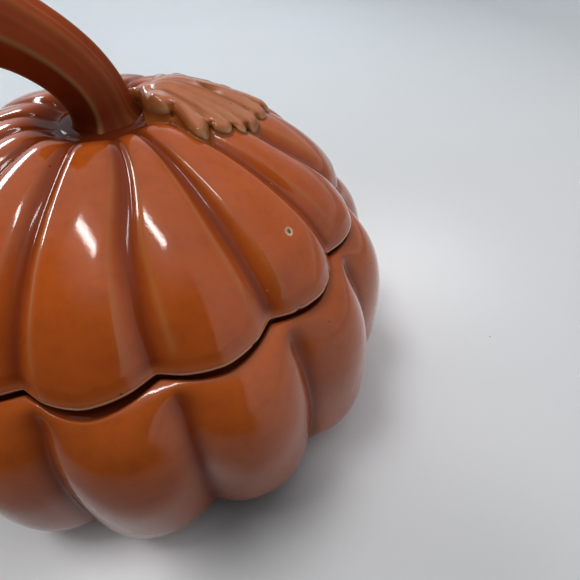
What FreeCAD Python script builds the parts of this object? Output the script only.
import FreeCAD, Part
import math
import os
import Sketcher

from FreeCAD import Placement, Rotation, Vector

# Lidded ceramic pumpkin dish, millimetres, +Z up.
# Origin: centre of the foot, on the table plane. The pumpkin axis is +Z, the tip of the stem
# leans to -X and the leaf lies on the +X side.
# The dish is two loose castings, a lobed bowl and a lobed lid. The lid carries a locating
# collar underneath, and a fluted stem (the handle) and a leaf on top.

doc = FreeCAD.newDocument("pumpkin_dish")

# ------------------------------------------------------------------------------ dimensions
# alias, value, note
DIMENSIONS = [
    ("lobe_count", 14, "ribs around bowl and lid"),
    ("bowl_max_radius", 82.5, "radius over a bowl lobe, at the widest height"),
    ("bowl_widest_height", 30.5, "height of the widest line"),
    ("bowl_foot_radius", 47.0, "outer radius of the ring the bowl stands on"),
    ("bowl_lower_power", 3.26, "squareness of the lower bowl profile"),
    ("bowl_upper_power", 2.25, "squareness of the upper bowl profile"),
    ("bowl_shoulder_radius", 63.0, "radius where the shoulder turns flat, under the lid"),
    ("bowl_lip_height", 67.0, "height of the flat lip"),
    ("bowl_groove_share", 0.072, "groove depth as a share of the radius"),
    ("bowl_hollow_groove", 0.8, "groove share of the hollow against the outside"),
    ("bowl_foot_fade", 14.0, "radial width over which the grooves run out at the foot"),
    ("bowl_shoulder_fade", 9.0, "the same at the shoulder"),
    ("bowl_lobe_power", 2.15, "fullness of a bowl lobe between its grooves"),
    ("bowl_wall", 4.8, "casting thickness of the bowl"),
    ("bowl_floor", 5.5, "floor thickness"),
    ("bowl_mouth_radius", 56.0, "radius of the mouth the collar drops into"),
    ("bowl_mouth_depth", 5.0, "height of the straight mouth wall"),
    ("mouth_tool_below", 3.0, "reach of the mouth cutter below the mouth wall"),
    ("mouth_tool_above", 5.0, "reach of the mouth cutter above the lip"),
    ("bowl_turn", 2.6, "turn of the bowl lobes against the lid lobes, degrees"),
    ("foot_recess_radius", 40.0, "mean radius of the hollow inside the foot ring"),
    ("foot_recess_flare", 0.8, "how much wider it is at the table, narrower at its roof"),
    ("foot_recess_depth", 2.2, "depth of that hollow"),
    ("first_groove_angle", -5.26, "angle of lid groove 0 from -Y towards +X, degrees"),
    ("lid_rim_height", 68.8, "height of the lower edge of the lid"),
    ("lid_lobe_radius", 69.55, "rim radius at the middle of a lid lobe"),
    ("lid_notch_radius", 64.9, "rim radius in the notch between two lobes"),
    ("lid_seat_radius", 10.7, "radius of the flat seat below the stem"),
    ("lid_seat_height", 98.0, "height of that seat"),
    ("lid_groove_top", 100.7, "height the grooves run up to before the dimple"),
    ("lid_crest_top", 102.4, "height the lobe crests run up to before the dimple"),
    ("lid_groove_power_r", 1.704, "radial power of the groove line"),
    ("lid_groove_power_z", 1.321, "vertical power of the groove line"),
    ("lid_crest_power_r", 1.876, "radial power of the crest line"),
    ("lid_crest_power_z", 1.407, "vertical power of the crest line"),
    ("lid_lobe_power", 2.66, "fullness of a lid lobe between its grooves"),
    ("lid_dimple_width", 6.0, "radial width of the dimple round the stem"),
    ("lid_wall", 4.2, "casting thickness of the lid"),
    ("lid_opening_radius", 56.8, "radius of the opening in the underside of the lid"),
    ("lid_roof_radius", 8.0, "radius of the flat roof of the lid hollow"),
    ("collar_outer_radius", 54.5, "outside of the collar that drops into the mouth"),
    ("collar_inner_radius", 50.5, "inside of the collar"),
    ("collar_drop", 7.0, "how far the collar reaches below the lip"),
    ("collar_edge_round", 1.2, "rounding of the lower edges of the collar"),
    ("ledge_radius", 61.0, "outer radius of the ledge that rests on the lip"),
    ("seat_gap", 0.05, "play between ledge and lip"),
    ("stem_ridge_count", 6, "ridges around the stem"),
    ("stem_ridge_angle", 25.0, "angle of the first ridge from +X, degrees"),
    ("stem_ridge_foot", 10.4, "ridge radius of the stem at the seat"),
    ("stem_ridge_low", 9.0, "ridge radius just above the foot"),
    ("stem_ridge_mid", 8.5, "ridge radius at mid height"),
    ("stem_ridge_high", 8.2, "ridge radius near the tip"),
    ("stem_ridge_tip", 8.6, "ridge radius at the cut end"),
    ("stem_flute_share", 0.84, "flute radius as a share of the ridge radius"),
    ("stem_x_low", -0.25, "axis offset just above the foot"),
    ("stem_z_low", 101.9, "axis height just above the foot"),
    ("stem_lean_low", 6.0, "lean just above the foot, degrees"),
    ("stem_x_mid", -1.8, "axis offset at mid height"),
    ("stem_z_mid", 108.6, "axis height at mid height"),
    ("stem_lean_mid", 19.0, "lean at mid height, degrees"),
    ("stem_x_high", -6.2, "axis offset near the tip"),
    ("stem_z_high", 116.0, "axis height near the tip"),
    ("stem_lean_high", 41.0, "lean near the tip, degrees"),
    ("stem_x_tip", -14.6, "axis offset of the cut end"),
    ("stem_z_tip", 123.3, "axis height of the cut end"),
    ("stem_lean_tip", 53.0, "lean of the cut end, degrees"),
    ("leaf_rise_stalk", 6.5, "height of the leaf above the lid at the stem"),
    ("leaf_rise_tip", 4.0, "height of the leaf above the lid at its tip"),
    ("leaf_edge_fall", 3.0, "how much lower the side edges of the leaf are"),
    ("leaf_half_width", 22.0, "nominal half width of the leaf"),
    ("leaf_start", 9.0, "distance from the axis where the rise starts to change"),
    ("leaf_end", 48.0, "distance of the leaf tip from the pumpkin axis"),
    ("leaf_prism_base", 88.0, "height of the base of the leaf prism"),
    ("leaf_prism_above", 11.6, "reach of the leaf prism above the lid crest top"),
]

sheet = doc.addObject("Spreadsheet::Sheet", "Dims")
for row_number, (alias, value, note) in enumerate(DIMENSIONS, start=1):
    sheet.set("A%d" % row_number, note)
    sheet.set("B%d" % row_number, str(value))
    sheet.setAlias("B%d" % row_number, alias)
doc.recompute()


def dim(alias):
    return float(getattr(sheet, alias))


LOBES = int(dim("lobe_count"))
PITCH = 2.0 * math.pi / LOBES
LID_ANGLE = math.radians(dim("first_groove_angle"))
BOWL_ANGLE = LID_ANGLE + math.radians(dim("bowl_turn"))


# ------------------------------------------------------------------------- curve helpers
def resample(points, count):
    """The same polyline with count points at equal arc length."""
    run = [0.0]
    for start, end in zip(points, points[1:]):
        run.append(run[-1] + math.dist(start, end))
    out, j = [], 0
    for i in range(count):
        target = run[-1] * i / (count - 1)
        while j < len(points) - 2 and run[j + 1] < target:
            j += 1
        share = (target - run[j]) / (run[j + 1] - run[j])
        out.append(tuple(p + (q - p) * share for p, q in zip(points[j], points[j + 1])))
    return out


def smooth(x):
    """Smooth step from 0 at x = 0 to 1 at x = 1."""
    x = min(1.0, max(0.0, x))
    return x * x * (3.0 - 2.0 * x)


def offset_line(line, inset):
    """A rising (r, z) line moved by inset towards the inside of the casting."""
    out = []
    for i, (r, z) in enumerate(line):
        before, after = line[max(0, i - 1)], line[min(len(line) - 1, i + 1)]
        dr, dz = after[0] - before[0], after[1] - before[1]
        length = math.hypot(dr, dz)
        out.append((r - inset * dz / length, z + inset * dr / length))
    return out


# ---------------------------------------------------------------------- document helpers
def add_form(name, shape):
    feature = doc.addObject("Part::Feature", name)
    feature.Shape = shape
    feature.Placement = Placement()
    return feature


def add_boolean(kind, name, base, tool):
    result = doc.addObject("Part::" + kind, name)
    result.Base, result.Tool = base, tool
    return result


def add_body(name):
    body = doc.addObject("PartDesign::Body", name)
    body.Label = name
    return body


def sketch_on(body, role, name):
    """A sketch on the origin plane of the body that has this role."""
    sketch = body.newObject("Sketcher::SketchObject", name)
    plane = next(f for f in body.Origin.OriginFeatures if f.Role == role)
    sketch.AttachmentSupport = [(plane, "")]
    sketch.MapMode = "FlatFace"
    return sketch


def add_polygon(sketch, points):
    """Closed polygon; line i starts at point i."""
    for start, end in zip(points, points[1:] + points[:1]):
        sketch.addGeometry(Part.LineSegment(Vector(*start, 0), Vector(*end, 0)), False)
    for i in range(len(points)):
        following = (i + 1) % len(points)
        sketch.addConstraint(Sketcher.Constraint("Coincident", i, 2, following, 1))


def drive_start(sketch, kind, line, value, expression):
    """Bind the distance from the sketch origin to the start of a line."""
    index = sketch.addConstraint(Sketcher.Constraint(kind, -1, 1, line, 1, value))
    sketch.setExpression("Constraints[%d]" % index, expression)


def is_level(edge, height, tolerance):
    box = edge.BoundBox
    return abs(box.ZMin - height) < tolerance and abs(box.ZMax - height) < tolerance


# -------------------------------------------------------------------------- lobed solids
def lobed_solid(rows, first_angle, power, columns):
    """A closed solid of equal lobes. rows is a list of ((groove r, groove z),
    (crest r, crest z)); the first and last row are flat and closed with planar faces."""
    grid = []
    for i in range(columns):
        across = -1.0 + 2.0 * i / (columns - 1)  # -1 and 1 in the grooves, 0 on the crest
        fullness = 1.0 - abs(across) ** power
        theta = first_angle + (0.5 + across / 2.0) * PITCH
        line = []
        for (groove_r, groove_z), (crest_r, crest_z) in rows:
            r = groove_r + (crest_r - groove_r) * fullness
            z = groove_z + (crest_z - groove_z) * fullness
            line.append(Vector(r * math.sin(theta), -r * math.cos(theta), z))
        grid.append(line)
    surface = Part.BSplineSurface()
    surface.interpolate(grid)
    patch = surface.toShape()
    faces = []
    for k in range(LOBES):
        lobe = patch.copy()
        lobe.rotate(Vector(0, 0, 0), Vector(0, 0, 1), math.degrees(k * PITCH))
        faces.append(lobe)
    for height in (rows[0][0][1], rows[-1][0][1]):
        ring = [e for face in faces for e in face.Edges if is_level(e, height, 1e-4)]
        faces.append(Part.Face(Part.Wire(Part.__sortEdges__(ring))))
    sewn = Part.makeCompound(faces)
    sewn.sewShape(0.01)
    # sewing may leave no shell; the faces are then joined as they are
    shell = sewn.Shells[0] if sewn.Shells else Part.makeShell(faces)
    solid = Part.makeSolid(shell)
    if solid.Volume < 0:
        solid.reverse()
    return solid


def bowl_rows(inset, floor, top, mouth, groove_share):
    """Groove and crest rows of the bowl, from the foot circle at the floor height to the
    mouth circle at the top height. inset shrinks the foot and the widest radius."""
    widest, widest_z = dim("bowl_max_radius") - inset, dim("bowl_widest_height")
    foot = dim("bowl_foot_radius") - inset
    lower, upper = 2 / dim("bowl_lower_power"), 2 / dim("bowl_upper_power")
    low, high = [], []
    for i in range(201):
        angle = (1.0 - i / 200.0) * math.pi / 2
        low.append((
            foot + (widest - foot) * math.cos(angle) ** lower,
            widest_z - (widest_z - floor) * math.sin(angle) ** lower,
        ))
        angle = i / 200.0 * math.pi / 2
        high.append((
            mouth + (widest - mouth) * math.cos(angle) ** upper,
            widest_z + (top - widest_z) * math.sin(angle) ** upper,
        ))
    rows = []
    for r, z in resample(low, 12)[:-1] + resample(high, 17):
        # the grooves run out on the flat foot and on the shoulder
        if z < widest_z:
            fade = smooth((r - foot) / dim("bowl_foot_fade"))
        else:
            fade = smooth((r - mouth) / dim("bowl_shoulder_fade"))
        rows.append(((r * (1.0 - groove_share * fade), z), (r, z)))
    return rows


def lid_rows(count):
    """Groove and crest rows of the lid, from the rim up to the seat below the stem."""
    seat_r, seat_z = dim("lid_seat_radius"), dim("lid_seat_height")
    rim_z, dimple = dim("lid_rim_height"), dim("lid_dimple_width")
    fine = []
    for i in range(301):
        angle = i / 300.0 * math.pi / 2
        cosine, sine = max(0.0, math.cos(angle)), math.sin(angle)
        pair = []
        for line, rim_alias in (("groove", "lid_notch_radius"), ("crest", "lid_lobe_radius")):
            top = dim("lid_%s_top" % line)
            r = seat_r + (dim(rim_alias) - seat_r) * cosine ** (2 / dim("lid_%s_power_r" % line))
            z = rim_z + (top - rim_z) * sine ** (2 / dim("lid_%s_power_z" % line))
            z -= (top - seat_z) * math.exp(-(((r - seat_r) / dimple) ** 2))
            # both ends are exactly flat
            if i == 0:
                z = rim_z
            if i == 300:
                z = seat_z
            pair += [r, z]
        fine.append(tuple(pair))
    return [(row[:2], row[2:]) for row in resample(fine, count)]


def lid_cavity_rows(count):
    """The inside of the lid: both lines moved in by the wall, with a round opening below."""
    rim_z, wall, opening = dim("lid_rim_height"), dim("lid_wall"), dim("lid_opening_radius")
    roof_z, roof_r = dim("lid_seat_height") - wall, dim("lid_roof_radius")
    skirt = [(opening, rim_z), (opening - 0.15, rim_z + 1.2)]
    outer_rows = lid_rows(161)
    lines = []
    for side in (0, 1):  # groove, crest
        # margins keep the moved line clear of the skirt and the roof
        keep = [
            (r, z)
            for r, z in offset_line([row[side] for row in outer_rows], wall)
            if roof_r + 1.0 < r < opening - 1.0 and rim_z + 1.0 < z < roof_z - 0.4
        ]
        # a single line towards the axis, without loops or clear drops
        inward = [keep[0]]
        for r, z in keep[1:]:
            if r < inward[-1][0] - 1e-3 and z > inward[-1][1] - 0.2:
                inward.append((r, z))
        # the first two points make way for the skirt
        lines.append(resample(skirt + inward[2:] + [(roof_r, roof_z)], count))
    return list(zip(*lines))


# ---------------------------------------------------------------------------------- bowl
def build_bowl():
    """Lobed outside and hollow, a round mouth with a flat lip, a foot ring round a recess."""
    lip_z, power = dim("bowl_lip_height"), dim("bowl_lobe_power")
    outside_rows = bowl_rows(
        inset=0.0,
        floor=0.0,
        top=lip_z,
        mouth=dim("bowl_shoulder_radius"),
        groove_share=dim("bowl_groove_share"),
    )
    hollow_rows = bowl_rows(
        inset=dim("bowl_wall"),
        floor=dim("bowl_floor"),
        top=lip_z - dim("bowl_mouth_depth"),
        mouth=dim("bowl_mouth_radius"),
        groove_share=dim("bowl_groove_share") * dim("bowl_hollow_groove"),
    )
    outside = add_form("bowl_outside", lobed_solid(outside_rows, BOWL_ANGLE, power, columns=11))
    hollow = add_form("bowl_hollow", lobed_solid(hollow_rows, BOWL_ANGLE, power, columns=11))

    mouth = doc.addObject("Part::Cylinder", "mouth")
    mouth.setExpression("Radius", "Dims.bowl_mouth_radius")
    mouth.setExpression(
        "Height", "Dims.bowl_mouth_depth + Dims.mouth_tool_below + Dims.mouth_tool_above"
    )
    mouth.setExpression(
        "Placement.Base.z", "Dims.bowl_lip_height - Dims.bowl_mouth_depth - Dims.mouth_tool_below"
    )
    recess = doc.addObject("Part::Cone", "foot_recess")
    recess.setExpression("Radius1", "Dims.foot_recess_radius + Dims.foot_recess_flare")
    recess.setExpression("Radius2", "Dims.foot_recess_radius - Dims.foot_recess_flare")
    recess.setExpression("Height", "Dims.foot_recess_depth")

    opened = add_boolean("Cut", "bowl_open", outside, hollow)
    mouthed = add_boolean("Cut", "bowl_mouthed", opened, mouth)
    bowl = add_boolean("Cut", "bowl", mouthed, recess)
    bowl.Label = "bowl"
    return bowl


# ----------------------------------------------------------------------------- lid shell
def build_lid():
    """Overhanging scalloped rim, ribs up to a dimple with a flat seat, hollow underneath."""
    power = dim("lid_lobe_power")
    outside = add_form("lid_outside", lobed_solid(lid_rows(17), LID_ANGLE, power, columns=13))
    hollow = add_form("lid_hollow", lobed_solid(lid_cavity_rows(13), LID_ANGLE, power, columns=13))
    shell = add_boolean("Cut", "lid_shell", outside, hollow)
    shell.Label = "lid_shell"
    return shell, outside


# ----------------------------------------------------------------------- locating collar
def build_collar():
    """Ring under the lid: the ledge rests on the bowl lip, the skirt drops into the mouth."""
    collar = add_body("lid_locating_ring")
    sketch = sketch_on(collar, "XZ_Plane", "collar_section")
    inner, outer, ledge = (
        dim("collar_inner_radius"), dim("collar_outer_radius"), dim("ledge_radius")
    )
    top_z = dim("lid_rim_height")
    low_z = dim("bowl_lip_height") - dim("collar_drop")
    ledge_z = dim("bowl_lip_height") + dim("seat_gap")
    add_polygon(sketch, [
        (inner, low_z), (outer, low_z), (outer, ledge_z),
        (ledge, ledge_z), (ledge, top_z), (inner, top_z),
    ])
    for kind, lines in (("Horizontal", (0, 2, 4)), ("Vertical", (1, 3, 5))):
        for line in lines:
            sketch.addConstraint(Sketcher.Constraint(kind, line))
    for kind, line, value, expression in (
        ("DistanceX", 0, inner, "Dims.collar_inner_radius"),
        ("DistanceX", 1, outer, "Dims.collar_outer_radius"),
        ("DistanceX", 3, ledge, "Dims.ledge_radius"),
        ("DistanceY", 0, low_z, "Dims.bowl_lip_height - Dims.collar_drop"),
        ("DistanceY", 2, ledge_z, "Dims.bowl_lip_height + Dims.seat_gap"),
        ("DistanceY", 4, top_z, "Dims.lid_rim_height"),
    ):
        drive_start(sketch, kind, line, value, expression)
    turned = collar.newObject("PartDesign::Revolution", "collar_turned")
    turned.Profile = sketch
    turned.ReferenceAxis = (sketch, ["V_Axis"])
    turned.Angle = 360.0
    collar.Tip = turned
    doc.recompute()

    low_edges = [
        "Edge%d" % i
        for i, edge in enumerate(turned.Shape.Edges, start=1)
        if is_level(edge, low_z, 1e-3) and edge.Length > 100
    ]
    # a fillet without edges would fail
    if low_edges:
        soft = collar.newObject("PartDesign::Fillet", "collar_soft_edge")
        soft.Base = (turned, low_edges)
        soft.setExpression("Radius", "Dims.collar_edge_round")
        collar.Tip = soft
    return collar


# ---------------------------------------------------------------------------------- stem
def stem_section(stem, name):
    """Star of ridges and flutes, in a plane that leans to -X; the foot section is level."""
    sketch = sketch_on(stem, "XY_Plane", "stem_section_" + name)
    is_foot = name == "foot"
    z_alias = "lid_seat_height" if is_foot else "stem_z_" + name
    x = 0 if is_foot else dim("stem_x_" + name)
    lean = 0 if is_foot else dim("stem_lean_" + name)
    sketch.AttachmentOffset = Placement(
        Vector(x, 0, dim(z_alias)), Rotation(Vector(0, 1, 0), -lean)
    )
    sketch.setExpression("AttachmentOffset.Base.z", "Dims." + z_alias)
    if not is_foot:
        sketch.setExpression("AttachmentOffset.Base.x", "Dims.stem_x_" + name)
        sketch.setExpression("AttachmentOffset.Rotation.Angle", "-Dims.stem_lean_" + name)

    ridges = int(dim("stem_ridge_count"))
    radius_alias = "stem_ridge_" + name
    angles = [dim("stem_ridge_angle") + i * 180.0 / ridges for i in range(2 * ridges)]
    points = []
    for i, angle in enumerate(angles):
        share = 1.0 if i % 2 == 0 else dim("stem_flute_share")
        radius, turn = share * dim(radius_alias), math.radians(angle)
        points.append((radius * math.cos(turn), radius * math.sin(turn)))
    add_polygon(sketch, points)
    for i, (point, angle) in enumerate(zip(points, angles)):
        share = "1" if i % 2 == 0 else "Dims.stem_flute_share"
        for kind, value, function in (("DistanceX", point[0], "cos"), ("DistanceY", point[1], "sin")):
            expression = "Dims.%s * %s * %s(%.3f deg)" % (radius_alias, share, function, angle)
            drive_start(sketch, kind, i, value, expression)
    return sketch


def build_stem():
    """Solid fluted stem, lofted through five sections that lean over towards -X."""
    stem = add_body("stem_handle")
    sections = [stem_section(stem, name) for name in ("foot", "low", "mid", "high", "tip")]
    doc.recompute()
    loft = stem.newObject("PartDesign::AdditiveLoft", "stem_loft")
    loft.Profile = sections[0]
    loft.Sections = sections[1:]
    loft.Ruled = False
    loft.Closed = False
    stem.Tip = loft
    doc.recompute()
    return stem


# ---------------------------------------------------------------------------------- leaf
# Leaf outline seen from above, x and y, for the nominal end and half width below.
OUTLINE_END, OUTLINE_HALF_WIDTH = 48.0, 22.0
LEAF_OUTLINE = [
    (9.0, 0.0), (9.6, -5.6), (11.6, -10.6), (14.6, -10.8), (16.8, -12.8), (18.3, -18.2),
    (20.6, -22.2), (23.2, -21.8), (25.2, -18.2), (27.6, -20.0), (30.0, -19.2), (31.6, -16.6),
    (33.6, -18.2), (35.4, -15.2), (38.4, -14.6), (42.0, -9.6), (45.6, -6.2), (48.0, -1.6),
    (46.4, 3.4), (44.0, 8.0), (41.2, 10.4), (39.6, 14.8), (36.0, 14.6), (33.4, 18.6),
    (29.6, 18.2), (27.4, 21.0), (23.6, 20.6), (20.6, 17.0), (17.6, 16.4), (15.0, 12.2),
    (11.8, 10.4), (9.6, 5.4),
]
CROWN_START = 2.0  # x where the crown surface begins
CROWN_MARGIN = 6.0  # how far it runs past the leaf at the tip and the sides
CROWN_LEVEL_RADIUS = 14.0  # inside this radius the crown ignores the dimple
CROWN_DEPTH = 40.0  # thickness of the crowned slab
FALL_WIDTH_SHARE = 0.41  # width of the crown's side fall against the half width
FALL_POWER = 1.6  # steepness of that fall


def mean_height(line, radius):
    """Height at a radius on a line of (r, z) points that runs towards the axis."""
    for (r1, z1), (r2, z2) in zip(line, line[1:]):
        if r2 <= radius <= r1:
            return z1 + (z2 - z1) * (r1 - radius) / (r1 - r2)
    return line[-1][1] if radius < line[-1][0] else line[0][1]


def leaf_crown_shape():
    """Slab whose top follows the mean lid surface and falls off to both sides."""
    half, end, start = dim("leaf_half_width"), dim("leaf_end"), dim("leaf_start")
    stalk, tip = dim("leaf_rise_stalk"), dim("leaf_rise_tip")
    # the mean line lies two thirds of the way from groove to crest
    mean_line = [
        ((groove[0] + 2 * crest[0]) / 3, (groove[1] + 2 * crest[1]) / 3)
        for groove, crest in lid_rows(120)
    ]
    grid = []
    for i in range(9):
        x = CROWN_START + (end + CROWN_MARGIN - CROWN_START) * i / 8.0
        column = []
        for j in range(13):
            y = (half + CROWN_MARGIN) * (j - 6) / 6.0
            rise = stalk + (tip - stalk) * smooth((x - start) / (end - start))
            fall = 1.0 - math.exp(-((abs(y) / (FALL_WIDTH_SHARE * half)) ** FALL_POWER))
            rise -= dim("leaf_edge_fall") * fall
            radius = max(CROWN_LEVEL_RADIUS, math.hypot(x, y))
            column.append(Vector(x, y, mean_height(mean_line, radius) + rise))
        grid.append(column)
    surface = Part.BSplineSurface()
    surface.interpolate(grid)
    return surface.toShape().extrude(Vector(0, 0, -CROWN_DEPTH))


def build_leaf(lid_outside, stem):
    """Lobed outline cut through the crowned slab, trimmed to the lid ribs and the stem."""
    x_scale = dim("leaf_end") / OUTLINE_END
    y_scale = dim("leaf_half_width") / OUTLINE_HALF_WIDTH
    base_z = dim("leaf_prism_base")
    curve = Part.BSplineCurve()
    curve.interpolate(
        [Vector(x * x_scale, y * y_scale, base_z) for x, y in LEAF_OUTLINE], PeriodicFlag=True
    )
    prism = doc.addObject("Part::Extrusion", "leaf_prism")
    prism.Base = add_form("leaf_outline", Part.Wire([curve.toShape()]))
    prism.DirMode = "Custom"
    prism.Dir = Vector(0, 0, 1)
    prism.Solid = True
    prism.setExpression(
        "LengthFwd", "Dims.lid_crest_top + Dims.leaf_prism_above - Dims.leaf_prism_base"
    )
    crown = add_form("leaf_crown", leaf_crown_shape())
    slab = add_boolean("Common", "leaf_slab", prism, crown)
    on_lid = add_boolean("Cut", "leaf_on_lid", slab, lid_outside)
    leaf = add_boolean("Cut", "leaf", on_lid, stem)
    leaf.Label = "leaf"
    return leaf


# ----------------------------------------------------------------------- build and write
bowl = build_bowl()
lid_shell, lid_outside = build_lid()
collar = build_collar()
stem = build_stem()
leaf = build_leaf(lid_outside, stem)
doc.recompute()

for obj in doc.Objects:
    if any(word in obj.State for word in ("Invalid", "Error")):
        raise RuntimeError("%s failed: %s" % (obj.Name, obj.State))

pieces = (bowl, lid_shell, collar, stem, leaf)
for piece in pieces:
    shape = piece.Shape
    if shape.isNull() or not shape.isValid() or not shape.Solids:
        raise RuntimeError(piece.Label + " has no valid solid")

os.makedirs("parts", exist_ok=True)
for piece in pieces:
    piece.Shape.exportStep("parts/%s.step" % piece.Label)
